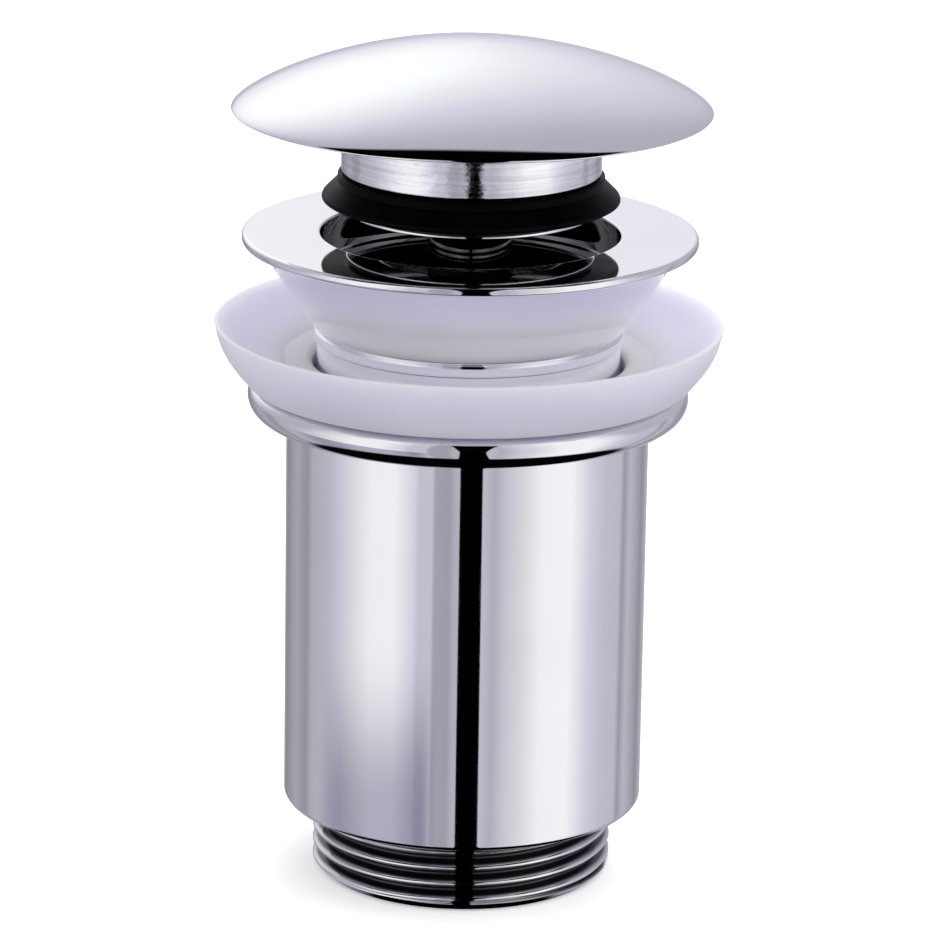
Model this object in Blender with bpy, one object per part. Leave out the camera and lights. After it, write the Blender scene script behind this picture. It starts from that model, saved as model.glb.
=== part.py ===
"""Pop up basin waste: a chromed waste with a mushroom plug on a press cartridge.

Lengths below are in millimetres and are turned into metres when a mesh is made. Heights are
measured from the top of the flange, up is plus, and the whole part stands on its outlet end.
"""

import math

import bmesh
import bpy
from mathutils import Matrix, Vector

MM = 0.001

# Clearances
SEAT_GAP = 0.3
LIP_CLEARANCE = 0.25
RETAINER_CLEARANCE = 0.48
PLUG_STOP_GAP = 0.5

# Heights of the outer parts
BASIN_GAP = 12.55
WASHER_HEIGHT = 8.3
SLEEVE_LENGTH = 60.3
OUTLET_LENGTH = 10.25

# Shared pipe thread, G 1 1/4, drawn plain at its crests
THREAD_RADIUS = 20.955

# Lower sleeve
SLEEVE_STEP = 4.175
SLEEVE_WALL = 2.2
SLEEVE_CORNER = 1.0
COLLAR_WIDTH = 5.38
COLLAR_HEIGHT = 4.5
COLLAR_BROW = 1.8
COLLAR_ROUND = 2.7
OUTLET_WALL = 3.455
OUTLET_CHAMFER = 1.1
RELIEF_DEPTH = 1.1
RELIEF_HEIGHT = 0.9
SOCKET_THREAD_DEPTH = 25.65
COUNTERBORE_DEPTH = 10.95

# Tapered basin washer
WASHER_FLARE = 4.56
WASHER_FOOT_WIDTH = 8.965
WASHER_RIM_WIDTH = 1.2
WASHER_FLOOR_WIDTH = 3.895
WASHER_DISH_DEPTH = 5.05
WASHER_BELLY = 0.95

# Flange body
FLANGE_WIDTH = 10.8
FLANGE_EDGE = 1.25
FLANGE_ROUND = 0.7
SEAT_WIDTH = 3.0
THROAT_ROUND = 0.8
SEAT_DEPTH = 5.4
TAIL_WALL = 3.355
BOWL_WALL = 6.3
BOWL_SHOULDER = 4.1
BOWL_DEPTH = 12.9
BEAD_HEIGHT = 1.6
BEAD_PROUD = 0.445
TAIL_LENGTH = 50.0

# Sealing ring on the tail
RING_WIRE = 0.9
RING_PROUD = 0.35
RING_DEPTH = 25.2

# Spider that carries the cartridge
HUB_RADIUS = 7.0
HUB_HEIGHT = 8.0
ARM_WIDTH = 2.8
ARM_HEIGHT = 6.0
ARM_ANGLES = (45.0, 135.0)

# Plug
PLUG_LIFT = 9.5
DOME_OVERHANG = 15.05
DOME_RISE = 9.35
DOME_BULGE = 1.75
DOME_SHOULDER = 0.78
DOME_WALL = 2.2
DOME_RIM = 0.3
DOME_LIP = 1.4
NECK_PROUD = 0.73
NECK_SHOWN = 7.9
SEAL_SECTION = 4.85
NECK_PLAY = 1.35
BOSS_DEPTH = 2.4
BOSS_RING_WALL = 2.4
BOSS_RING_HEIGHT = 4.0
SEAL_HEIGHT = 4.7
SEAL_RIM_PROUD = 0.55
SEAL_LIP_HEIGHT = 0.6
RETAINER_HEIGHT = 1.3

# Press cartridge
TUBE_RADIUS = 5.85
TUBE_WALL = 0.95
TUBE_FLOOR = 2.3
TUBE_FOOT_RADIUS = 6.6
GLAND_WALL = 1.1
GLAND_ROOF = 1.0
GLAND_LENGTH = 6.0
BUSH_HEAD = 0.8
BUSH_LENGTH = 3.3
BUSH_WALL = 1.8
ROD_THREAD_DEPTH = 4.6
DRUM_SECTION = 2.45
DISC_THICKNESS = 0.7
CLIP_GROOVE = 0.45
CLIP_PLAY = 0.55
SPINDLE_TIP = 1.3
STUD_RADIUS = 4.0
STUD_TIP = 1.5
NUT_ACROSS_FLATS = 13.0
NUT_HEIGHT = 5.0
LOCK_WASHER_HEIGHT = 1.0

# Cam drum, its track and the two pins that ride in it
TRACK_CYCLES = 4
TRACK_DEPTH = 1.1
TRACK_LAND = 1.0
PIN_RADIUS = 0.6
DRUM_CLEARANCE = 0.4

# Return spring
SPRING_TURNS = 7
SPRING_WIRE = 0.4
SPRING_SIDE_GAP = 0.7

# Facets
WIDE_SEGMENTS = 48
NARROW_SEGMENTS = 28
TRACK_STEPS = 48
SPRING_STEPS = 14

# Places worked out from the sizes, from the outlet up to the flange
washer_top = -BASIN_GAP
washer_bottom = washer_top - WASHER_HEIGHT
collar_top = washer_bottom - SEAT_GAP
sleeve_bottom = collar_top - SLEEVE_LENGTH
outlet_end = sleeve_bottom - OUTLET_LENGTH

# Radii of the tail, the sleeve and the washer, all from the thread
ring_radius = THREAD_RADIUS + RING_PROUD - RING_WIRE
counterbore = THREAD_RADIUS + RING_PROUD + SEAT_GAP
socket_bore = THREAD_RADIUS + SEAT_GAP
sleeve_radius = THREAD_RADIUS + SLEEVE_STEP
collar_radius = sleeve_radius + COLLAR_WIDTH
outlet_bore = THREAD_RADIUS - OUTLET_WALL
dish_radius = counterbore + WASHER_FLOOR_WIDTH
washer_foot = counterbore + WASHER_FOOT_WIDTH
washer_radius = washer_foot + WASHER_FLARE

# Radii of the flange body
body_bore = THREAD_RADIUS - TAIL_WALL
throat_radius = body_bore + SEAT_WIDTH
bowl_radius = throat_radius + BOWL_WALL
flange_radius = throat_radius + FLANGE_WIDTH
bead_radius = THREAD_RADIUS + BEAD_PROUD

# Places of the plug, which is drawn open
seal_bottom = -SEAT_DEPTH + SEAT_GAP + PLUG_LIFT
seal_top = seal_bottom + SEAL_HEIGHT
lip_radius = throat_radius - LIP_CLEARANCE
retainer_radius = body_bore - RETAINER_CLEARANCE
neck_radius = retainer_radius + NECK_PROUD
spigot_radius = neck_radius - SEAL_SECTION
neck_bore = TUBE_RADIUS + SEAT_GAP + GLAND_WALL + NECK_PLAY
boss_ring_radius = neck_bore + BOSS_RING_WALL
dome_radius = neck_radius + DOME_OVERHANG
dome_edge = seal_top + NECK_SHOWN
dome_rim = dome_edge + DOME_RIM
dome_top = dome_rim + DOME_RISE
boss_face = dome_edge + BOSS_DEPTH

# Places of the cartridge, from its gland down to the end of its stud
tube_bore = TUBE_RADIUS - TUBE_WALL
gland_top = boss_face - PLUG_LIFT - PLUG_STOP_GAP
bush_top = gland_top - GLAND_ROOF - SEAT_GAP
tube_top = bush_top - BUSH_HEAD - SEAT_GAP
bush_bottom = tube_top - BUSH_LENGTH
thrust_top = bush_bottom - SEAT_GAP
drum_top = thrust_top - DISC_THICKNESS - SEAT_GAP
pin_reach = PIN_RADIUS + SEAT_GAP
track_high = drum_top - TRACK_LAND - pin_reach
track_low = track_high - PLUG_LIFT
drum_bottom = track_low - TRACK_LAND - pin_reach
spring_disc_top = drum_bottom - SEAT_GAP
clip_top = spring_disc_top - DISC_THICKNESS - SEAT_GAP
rod_end = clip_top - DISC_THICKNESS - SPINDLE_TIP
spring_shut = (SPRING_TURNS + 1.5) * 2 * SPRING_WIRE
tube_floor = spring_disc_top - DISC_THICKNESS - PLUG_LIFT - spring_shut - PLUG_STOP_GAP
tube_foot = tube_floor - TUBE_FLOOR
hub_top = tube_foot - SEAT_GAP
hub_bottom = hub_top - HUB_HEIGHT
lock_washer_top = hub_bottom - SEAT_GAP
nut_top = lock_washer_top - LOCK_WASHER_HEIGHT - SEAT_GAP
stud_end = nut_top - NUT_HEIGHT - STUD_TIP
drum_radius = tube_bore - DRUM_CLEARANCE
spring_radius = tube_bore - SPRING_SIDE_GAP - SPRING_WIRE
rod_radius = tube_bore - BUSH_WALL - 2 * SEAT_GAP
spindle_radius = drum_radius - DRUM_SECTION - SEAT_GAP
clip_radius = spring_radius - SPRING_WIRE - CLIP_PLAY


def clear_scene():
    for item in list(bpy.data.objects):
        bpy.data.objects.remove(item, do_unlink=True)


def make_material(name, colour, roughness, metallic):
    material = bpy.data.materials.new(name)
    material.use_nodes = True
    shader = material.node_tree.nodes["Principled BSDF"]
    shader.inputs["Base Color"].default_value = (*colour, 1.0)
    shader.inputs["Roughness"].default_value = roughness
    shader.inputs["Metallic"].default_value = metallic
    material.diffuse_color = (*colour, 1.0)
    return material


def arc(centre, radius, start, end, steps):
    """Points of an arc in the (radius, height) plane, from start to end in degrees."""
    points = []
    for step in range(steps + 1):
        angle = math.radians(start + (end - start) * step / steps)
        points.append((centre[0] + radius * math.cos(angle), centre[1] + radius * math.sin(angle)))
    return points


def add_object(name, mesh, material, parent):
    item = bpy.data.objects.new(name, mesh)
    bpy.context.scene.collection.objects.link(item)
    item.data.materials.append(material)
    item.parent = parent
    return item


def finish_mesh(name, body, smooth_angle=30.0):
    bmesh.ops.remove_doubles(body, verts=body.verts, dist=1e-6)
    bmesh.ops.recalc_face_normals(body, faces=body.faces)
    mesh = bpy.data.meshes.new(name)
    body.to_mesh(mesh)
    body.free()
    mesh.shade_smooth()
    mesh.set_sharp_from_angle(angle=math.radians(smooth_angle))
    return mesh


def turned_mesh(name, outline, segments, sweep=360.0):
    """Spins an outline of (radius, height) points about the axis. An outline that starts and
    ends on the axis is left open there, and a sweep under a full turn gets end faces."""
    body = bmesh.new()
    corners = [body.verts.new((radius * MM, 0.0, height * MM)) for radius, height in outline]
    edges = [body.edges.new(pair) for pair in zip(corners, corners[1:], strict=False)]
    meets_axis = outline[0][0] == 0.0 and outline[-1][0] == 0.0
    if not meets_axis:
        edges.append(body.edges.new((corners[-1], corners[0])))
    geometry = corners + edges
    if sweep < 360.0:
        geometry = geometry + [body.faces.new(corners)]
    bmesh.ops.spin(
        body,
        geom=geometry,
        cent=(0.0, 0.0, 0.0),
        axis=(0.0, 0.0, 1.0),
        angle=math.radians(sweep),
        steps=segments,
    )
    return finish_mesh(name, body)


def turned(name, outline, material, parent, segments=WIDE_SEGMENTS, sweep=360.0):
    mesh = turned_mesh(name, outline, segments, sweep)
    return add_object(name, mesh, material, parent)


def ring_outline(inner, outer, bottom, top):
    return [(inner, bottom), (outer, bottom), (outer, top), (inner, top)]


def as_tool(item):
    """A guide that only shapes another piece."""
    item.hide_render = True
    item.display_type = "WIRE"
    return item


def shape_with(piece, tool, operation):
    modifier = piece.modifiers.new(tool.name, "BOOLEAN")
    modifier.operation = operation
    modifier.object = as_tool(tool)


def bar_tool(name, length, width, bottom, top, angle, parent):
    """A bar across the axis with its two long upper edges eased for the water."""
    body = bmesh.new()
    size = Matrix.Diagonal((length * MM, width * MM, (top - bottom) * MM, 1.0))
    place = Matrix.Translation((0.0, 0.0, (top + bottom) / 2 * MM))
    turn = Matrix.Rotation(math.radians(angle), 4, "Z")
    bmesh.ops.create_cube(body, size=1.0, matrix=place @ size)
    upper = top * MM - 1e-7
    long_edges = []
    for edge in body.edges:
        start, end = edge.verts
        if start.co.z > upper and end.co.z > upper and abs(start.co.x - end.co.x) > width * MM:
            long_edges.append(edge)
    bmesh.ops.bevel(
        body, geom=long_edges, offset=width * 0.3 * MM, segments=2, profile=0.5, affect="EDGES"
    )
    bmesh.ops.transform(body, matrix=turn, verts=body.verts)
    mesh = finish_mesh(name, body)
    item = bpy.data.objects.new(name, mesh)
    bpy.context.scene.collection.objects.link(item)
    item.parent = parent
    return item


def build_sleeve(material, parent):
    """Lower sleeve: a wide cup with a collar, and the outlet thread below it."""
    bore = sleeve_radius - SLEEVE_WALL
    collar_bottom = collar_top - COLLAR_HEIGHT
    upper_centre = (collar_radius - COLLAR_BROW, collar_top - COLLAR_BROW)
    round_centre = (collar_radius - COLLAR_ROUND, collar_bottom + COLLAR_ROUND)
    corner_centre = (sleeve_radius - SLEEVE_CORNER, sleeve_bottom + SLEEVE_CORNER)
    relief_radius = THREAD_RADIUS - RELIEF_DEPTH
    relief_bottom = sleeve_bottom - RELIEF_HEIGHT
    thread_bottom = collar_top - SOCKET_THREAD_DEPTH
    floor_height = sleeve_bottom + SLEEVE_WALL
    outline = [
        (counterbore, collar_top),
    ]
    outline += arc(upper_centre, COLLAR_BROW, 90.0, 0.0, 3)
    outline += arc(round_centre, COLLAR_ROUND, 0.0, -90.0, 4)
    outline.append((sleeve_radius, collar_bottom))
    outline += arc(corner_centre, SLEEVE_CORNER, 0.0, -90.0, 2)
    outline += [
        (relief_radius, sleeve_bottom),
        (relief_radius, relief_bottom),
        (THREAD_RADIUS, relief_bottom - RELIEF_DEPTH * 0.6),
        (THREAD_RADIUS, outlet_end + OUTLET_CHAMFER),
        (THREAD_RADIUS - OUTLET_CHAMFER, outlet_end),
        (outlet_bore, outlet_end),
        (outlet_bore, floor_height),
        (bore - SLEEVE_CORNER, floor_height),
        (bore, floor_height + SLEEVE_CORNER),
        (bore, thread_bottom - (bore - socket_bore)),
        (socket_bore, thread_bottom),
        (socket_bore, collar_top - COUNTERBORE_DEPTH),
        (counterbore, collar_top - COUNTERBORE_DEPTH + (counterbore - socket_bore)),
    ]
    turned("tail_sleeve", outline, material, parent)


def build_washer(material, parent):
    """Tapered washer that presses up against the underside of the basin."""
    rim_inner = washer_radius - WASHER_RIM_WIDTH
    dish_floor = washer_top - WASHER_DISH_DEPTH
    outline = [(counterbore, washer_bottom), (washer_foot, washer_bottom)]
    steps = 5
    for step in range(1, steps):
        share = step / steps
        swell = WASHER_BELLY * math.sin(math.pi * share)
        radius = washer_foot + (washer_radius - washer_foot) * share + swell
        outline.append((radius, washer_bottom + (WASHER_HEIGHT - 0.2) * share))
    outline += [
        (washer_radius, washer_top - 0.2),
        (washer_radius - 0.2, washer_top),
        (rim_inner, washer_top),
        (dish_radius, dish_floor),
        (counterbore, dish_floor),
    ]
    turned("basin_washer", outline, material, parent)


def flange_outline():
    """Flange, rounded bowl and threaded tail outside, throat with its seat and bore inside."""
    edge_bottom = -FLANGE_EDGE
    bead_top = -BOWL_DEPTH
    bead_bottom = bead_top - BEAD_HEIGHT
    round_centre = (flange_radius - FLANGE_ROUND, -FLANGE_ROUND)
    groove_half = RING_WIRE + SEAT_GAP
    groove_floor = ring_radius - RING_WIRE - SEAT_GAP
    outline = [(throat_radius + THROAT_ROUND, 0.0)]
    outline += arc(round_centre, FLANGE_ROUND, 90.0, 0.0, 3)
    outline.append((flange_radius - 0.1, edge_bottom))
    steps = 5
    for step in range(steps + 1):
        share = step / steps
        inward = 0.6 * share + 0.4 * share**2
        radius = bowl_radius + (THREAD_RADIUS + 0.2 - bowl_radius) * inward
        outline.append((radius, -BOWL_SHOULDER + (bead_top + BOWL_SHOULDER) * share))
    outline.append((bead_radius, bead_top - 0.4))
    outline += [
        (bead_radius, bead_bottom),
        (THREAD_RADIUS, bead_bottom - 0.3),
        (THREAD_RADIUS, -RING_DEPTH + groove_half),
        (groove_floor, -RING_DEPTH + groove_half),
        (groove_floor, -RING_DEPTH - groove_half),
        (THREAD_RADIUS, -RING_DEPTH - groove_half),
        (THREAD_RADIUS, -TAIL_LENGTH + 1.0),
        (THREAD_RADIUS - 1.0, -TAIL_LENGTH),
        (body_bore, -TAIL_LENGTH),
        (body_bore, -SEAT_DEPTH - 0.3),
        (body_bore + 0.3, -SEAT_DEPTH),
        (throat_radius, -SEAT_DEPTH),
    ]
    throat_centre = (throat_radius + THROAT_ROUND, -THROAT_ROUND)
    outline += arc(throat_centre, THROAT_ROUND, 180.0, 90.0, 3)[:-1]
    return outline


def build_flange(material, parent):
    """Flange body with the four armed spider and the bored hub cast in it."""
    flange = turned("flange_body", flange_outline(), material, parent)
    arm_top = hub_top - (HUB_HEIGHT - ARM_HEIGHT) / 2
    arm_length = 2 * (body_bore + (THREAD_RADIUS - body_bore) * 0.4)
    for number, angle in enumerate(ARM_ANGLES, start=1):
        name = f"spider_bar_{number}"
        tool = bar_tool(name, arm_length, ARM_WIDTH, arm_top - ARM_HEIGHT, arm_top, angle, parent)
        shape_with(flange, tool, "UNION")
    hub = [(0.0, hub_bottom), (HUB_RADIUS, hub_bottom), (HUB_RADIUS, hub_top), (0.0, hub_top)]
    hub_tool = turned("spider_hub", hub, material, parent, NARROW_SEGMENTS)
    shape_with(flange, hub_tool, "UNION")
    bore_radius = STUD_RADIUS + SEAT_GAP
    bore = [
        (0.0, hub_bottom - 1.0),
        (bore_radius, hub_bottom - 1.0),
        (bore_radius, hub_top + 1.0),
        (0.0, hub_top + 1.0),
    ]
    bore_tool = turned("hub_bore", bore, material, parent, NARROW_SEGMENTS)
    shape_with(flange, bore_tool, "DIFFERENCE")


def build_tail_ring(material, parent):
    section = arc((ring_radius, -RING_DEPTH), RING_WIRE, 0.0, 360.0, 8)[:-1]
    turned("tail_sealing_ring", section, material, parent)


def dome_height(radius):
    """Height of the dome's outside, flat over the middle and full towards the rim."""
    share = 1.0 - (radius / dome_radius) ** DOME_BULGE
    return dome_rim + DOME_RISE * max(0.0, share) ** DOME_SHOULDER


def build_dome(material, parent):
    """Mushroom cap: a shallow dome with a hollow underside, a boss and a threaded ring."""
    outer = []
    steps = 9
    for step in range(steps + 1):
        radius = dome_radius * math.sin(math.pi / 2 * step / steps)
        outer.append((radius, dome_height(radius)))
    inner_rim = dome_radius - DOME_RIM - DOME_LIP
    underside = [(dome_radius - DOME_RIM, dome_edge), (inner_rim, dome_edge)]
    steps = 4
    for step in range(1, steps + 1):
        radius = inner_rim + (neck_radius - inner_rim) * step / steps
        underside.append((radius, dome_height(radius) - DOME_WALL))
    hole = rod_radius + SEAT_GAP
    hole_top = boss_face + ROD_THREAD_DEPTH + SEAT_GAP
    boss = [
        (neck_radius, boss_face),
        (boss_ring_radius, boss_face),
        (boss_ring_radius, boss_face - BOSS_RING_HEIGHT),
        (neck_bore, boss_face - BOSS_RING_HEIGHT),
        (neck_bore, boss_face),
        (hole, boss_face),
        (hole, hole_top),
        (0.0, hole_top),
    ]
    turned("dome_cap", outer + underside + boss, material, parent)


def build_neck(material, parent):
    """Machined collar under the dome, with the spigot that carries the seal."""
    recess_radius = boss_ring_radius + SEAT_GAP
    recess_floor = boss_face - BOSS_RING_HEIGHT - SEAT_GAP
    neck_top = boss_face - SEAT_GAP
    spigot_end = seal_bottom - RETAINER_HEIGHT
    neck_foot = seal_top + SEAT_GAP
    outline = [
        (recess_radius, neck_top),
        (neck_radius - 0.3, neck_top),
        (neck_radius, neck_top - 0.3),
        (neck_radius, neck_foot + 0.3),
        (neck_radius - 0.3, neck_foot),
        (spigot_radius, neck_foot),
        (spigot_radius, spigot_end),
        (neck_bore, spigot_end),
        (neck_bore, recess_floor),
        (recess_radius, recess_floor),
    ]
    turned("plug_neck", outline, material, parent)


def build_seal(material, parent):
    """Lip seal: an upright rim above, and a lip that flares out below it."""
    inner = spigot_radius + SEAT_GAP
    rim_radius = neck_radius + SEAL_RIM_PROUD
    lip_height = seal_bottom + SEAL_LIP_HEIGHT
    outline = [
        (inner, seal_bottom),
        (retainer_radius + 0.3, seal_bottom),
        (lip_radius - 0.6, seal_bottom),
        (lip_radius, lip_height - 0.2),
        (lip_radius, lip_height + 0.2),
        (lip_radius - 0.4, lip_height + 1.1),
        (rim_radius + 0.2, lip_height + 2.2),
        (rim_radius, seal_top - 1.2),
        (rim_radius, seal_top - 0.3),
        (rim_radius - 0.3, seal_top),
        (inner, seal_top),
    ]
    turned("lip_seal", outline, material, parent)


def build_retainer(material, parent):
    """Screwed ring that holds the seal up on the spigot."""
    top = seal_bottom - SEAT_GAP
    inner = spigot_radius + SEAT_GAP
    bottom = seal_bottom - RETAINER_HEIGHT
    outline = [
        (inner, bottom),
        (retainer_radius - 0.4, bottom),
        (retainer_radius, bottom + 0.3),
        (retainer_radius, top - 0.2),
        (retainer_radius - 0.2, top),
        (inner, top),
    ]
    turned("seal_retainer", outline, material, parent)


def build_tube(material, parent):
    """Cartridge tube with its foot and stud in one, cross drilled for the cam pins."""
    outline = [
        (0.0, tube_floor),
        (tube_bore, tube_floor),
        (tube_bore, tube_top),
        (TUBE_RADIUS, tube_top),
        (TUBE_RADIUS, tube_floor),
        (TUBE_FOOT_RADIUS, tube_floor - 0.4),
        (TUBE_FOOT_RADIUS, tube_foot),
        (STUD_RADIUS, tube_foot),
        (STUD_RADIUS, stud_end + 0.6),
        (STUD_RADIUS - 0.6, stud_end),
        (0.0, stud_end),
    ]
    tube = turned("cartridge_tube", outline, material, parent, NARROW_SEGMENTS)
    drill_end = TUBE_RADIUS + 1.0
    drill = pin_body("pin_drill", -drill_end, drill_end, pin_reach, parent)
    shape_with(tube, drill, "DIFFERENCE")


def pin_body(name, start, end, radius, parent):
    """A round pin along X at the height of the cam track's lower turns."""
    body = bmesh.new()
    place = Matrix.Translation(((start + end) / 2 * MM, 0.0, track_low * MM))
    lie = Matrix.Rotation(math.radians(90.0), 4, "Y")
    bmesh.ops.create_cone(
        body,
        cap_ends=True,
        segments=12,
        radius1=radius * MM,
        radius2=radius * MM,
        depth=(end - start) * MM,
        matrix=place @ lie,
    )
    mesh = finish_mesh(name, body)
    item = bpy.data.objects.new(name, mesh)
    bpy.context.scene.collection.objects.link(item)
    item.parent = parent
    return item


def build_cam_pins(material, parent):
    tip = drum_radius - TRACK_DEPTH + SEAT_GAP
    head = TUBE_RADIUS - 0.2
    for name, start, end in (("cam_pin_left", -head, -tip), ("cam_pin_right", tip, head)):
        pin = pin_body(name, start, end, PIN_RADIUS, parent)
        pin.data.materials.append(material)


def build_bush(material, parent):
    """Top hat bush that guides the rod in the mouth of the tube."""
    bore = rod_radius + SEAT_GAP
    outline = [
        (bore, bush_bottom),
        (tube_bore - SEAT_GAP, bush_bottom),
        (tube_bore - SEAT_GAP, tube_top + SEAT_GAP),
        (TUBE_RADIUS, tube_top + SEAT_GAP),
        (TUBE_RADIUS, bush_top),
        (bore, bush_top),
    ]
    turned("guide_bush", outline, material, parent, NARROW_SEGMENTS)


def build_gland(material, parent):
    """Gland cap screwed over the mouth of the tube."""
    inner = TUBE_RADIUS + SEAT_GAP
    outer = inner + GLAND_WALL
    bottom = gland_top - GLAND_LENGTH
    roof = gland_top - GLAND_ROOF
    outline = [
        (inner, bottom),
        (outer, bottom),
        (outer, gland_top - 0.5),
        (outer - 0.5, gland_top),
        (rod_radius + 0.5, gland_top),
        (rod_radius + 0.5, roof),
        (inner, roof),
    ]
    turned("gland_cap", outline, material, parent, NARROW_SEGMENTS)


def build_lock_washer(material, parent):
    outline = ring_outline(
        STUD_RADIUS + SEAT_GAP, HUB_RADIUS - 0.3, lock_washer_top - LOCK_WASHER_HEIGHT, lock_washer_top
    )
    turned("split_lock_washer", outline, material, parent, NARROW_SEGMENTS, sweep=345.0)


def build_lock_nut(material, parent):
    """Hexagon nut that holds the cartridge down on the hub."""
    corner = NUT_ACROSS_FLATS / 2 / math.cos(math.radians(30.0))
    bottom = nut_top - NUT_HEIGHT
    prism = [(0.0, bottom), (corner, bottom), (corner, nut_top), (0.0, nut_top)]
    nut = turned("lock_nut", prism, material, parent, 6)
    face = NUT_ACROSS_FLATS / 2 - 0.2
    slope = (corner - face) * 0.5
    barrel = [
        (0.0, bottom),
        (face, bottom),
        (corner + 0.1, bottom + slope),
        (corner + 0.1, nut_top - slope),
        (face, nut_top),
        (0.0, nut_top),
    ]
    barrel_tool = turned("nut_chamfer", barrel, material, parent, NARROW_SEGMENTS)
    shape_with(nut, barrel_tool, "INTERSECT")
    bore_radius = STUD_RADIUS + SEAT_GAP
    bore = [
        (0.0, bottom - 1.0),
        (bore_radius, bottom - 1.0),
        (bore_radius, nut_top + 1.0),
        (0.0, nut_top + 1.0),
    ]
    bore_tool = turned("nut_bore", bore, material, parent, NARROW_SEGMENTS)
    shape_with(nut, bore_tool, "DIFFERENCE")


def build_rod(material, parent):
    """Plunger rod: screwed into the dome above, a thin spindle for the drum below."""
    top = boss_face + ROD_THREAD_DEPTH
    shoulder = thrust_top + SEAT_GAP
    groove_top = clip_top + SEAT_GAP
    groove_bottom = clip_top - DISC_THICKNESS - SEAT_GAP
    groove = spindle_radius - CLIP_GROOVE
    outline = [
        (0.0, rod_end),
        (spindle_radius - 0.3, rod_end),
        (spindle_radius, rod_end + 0.3),
        (spindle_radius, groove_bottom),
        (groove, groove_bottom),
        (groove, groove_top),
        (spindle_radius, groove_top),
        (spindle_radius, shoulder),
        (rod_radius, shoulder),
        (rod_radius, top - 0.4),
        (rod_radius - 0.4, top),
        (0.0, top),
    ]
    turned("plunger_rod", outline, material, parent, NARROW_SEGMENTS)


def build_rod_trim(disc_material, clip_material, parent):
    """Thrust washer above the drum, spring washer below it, and the clip on the rod's end."""
    bore = spindle_radius + SEAT_GAP
    rim = drum_radius - 0.1
    upper = ring_outline(bore, rim, thrust_top - DISC_THICKNESS, thrust_top)
    turned("thrust_washer", upper, disc_material, parent, NARROW_SEGMENTS)
    lower = ring_outline(bore, rim, spring_disc_top - DISC_THICKNESS, spring_disc_top)
    turned("spring_washer", lower, disc_material, parent, NARROW_SEGMENTS)
    clip_bore = spindle_radius - CLIP_GROOVE + SEAT_GAP
    clip = ring_outline(clip_bore, clip_radius, clip_top - DISC_THICKNESS, clip_top)
    turned("rod_clip", clip, clip_material, parent, NARROW_SEGMENTS, sweep=290.0)


def track_height(angle):
    """Middle of the zigzag cam track: low at the pins, high half a cycle on."""
    phase = (angle * TRACK_CYCLES / (2 * math.pi)) % 1.0
    rise = 1.0 - abs(2.0 * phase - 1.0)
    return track_low + PLUG_LIFT * rise


def track_tool(parent):
    """A closed zigzag band that cuts the track. Its walls stay a pin's reach from the middle."""
    middle_radius = drum_radius - TRACK_DEPTH / 2
    run = math.pi / TRACK_CYCLES * middle_radius
    slope = math.atan2(PLUG_LIFT, run)
    half_height = pin_reach / math.cos(slope)
    inner = (drum_radius - TRACK_DEPTH) * MM
    outer = (drum_radius + 1.0) * MM
    body = bmesh.new()
    sections = []
    for step in range(TRACK_STEPS):
        angle = 2 * math.pi * step / TRACK_STEPS
        middle = track_height(angle)
        low = max(middle - half_height, track_low - pin_reach) * MM
        high = min(middle + half_height, track_high + pin_reach) * MM
        side = Vector((math.cos(angle), math.sin(angle), 0.0))
        corners = [(inner, low), (outer, low), (outer, high), (inner, high)]
        section = [body.verts.new(side * radius + Vector((0.0, 0.0, z))) for radius, z in corners]
        sections.append(section)
    for here, there in zip(sections, sections[1:] + sections[:1], strict=True):
        for corner in range(4):
            following = (corner + 1) % 4
            body.faces.new((here[corner], here[following], there[following], there[corner]))
    mesh = finish_mesh("cam_track", body)
    item = bpy.data.objects.new("cam_track", mesh)
    bpy.context.scene.collection.objects.link(item)
    item.parent = parent
    return item


def build_drum(material, parent):
    """Cam drum that turns an eighth of a turn for each stroke of the plug."""
    outline = ring_outline(spindle_radius + SEAT_GAP, drum_radius, drum_bottom, drum_top)
    drum = turned("cam_drum", outline, material, parent)
    shape_with(drum, track_tool(parent), "DIFFERENCE")


def build_spring(material, parent):
    """Return spring between the tube's floor and the spring washer."""
    low = tube_floor + SEAT_GAP + SPRING_WIRE
    high = spring_disc_top - DISC_THICKNESS - SEAT_GAP - SPRING_WIRE
    curve = bpy.data.curves.new("return_spring", "CURVE")
    curve.dimensions = "3D"
    curve.bevel_depth = SPRING_WIRE * MM
    curve.bevel_resolution = 1
    curve.use_fill_caps = True
    count = SPRING_TURNS * SPRING_STEPS + 1
    spline = curve.splines.new("POLY")
    spline.points.add(count - 1)
    for step, point in enumerate(spline.points):
        share = step / (count - 1)
        angle = 2 * math.pi * SPRING_TURNS * share
        x = spring_radius * math.cos(angle)
        y = spring_radius * math.sin(angle)
        z = low + (high - low) * share
        point.co = (x * MM, y * MM, z * MM, 1.0)
    item = bpy.data.objects.new("return_spring", curve)
    bpy.context.scene.collection.objects.link(item)
    item.data.materials.append(material)
    item.parent = parent


def add_frame(name, parent=None, height=0.0):
    frame = bpy.data.objects.new(name, None)
    bpy.context.scene.collection.objects.link(frame)
    frame.parent = parent
    frame.location = (0.0, 0.0, height * MM)
    return frame


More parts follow.
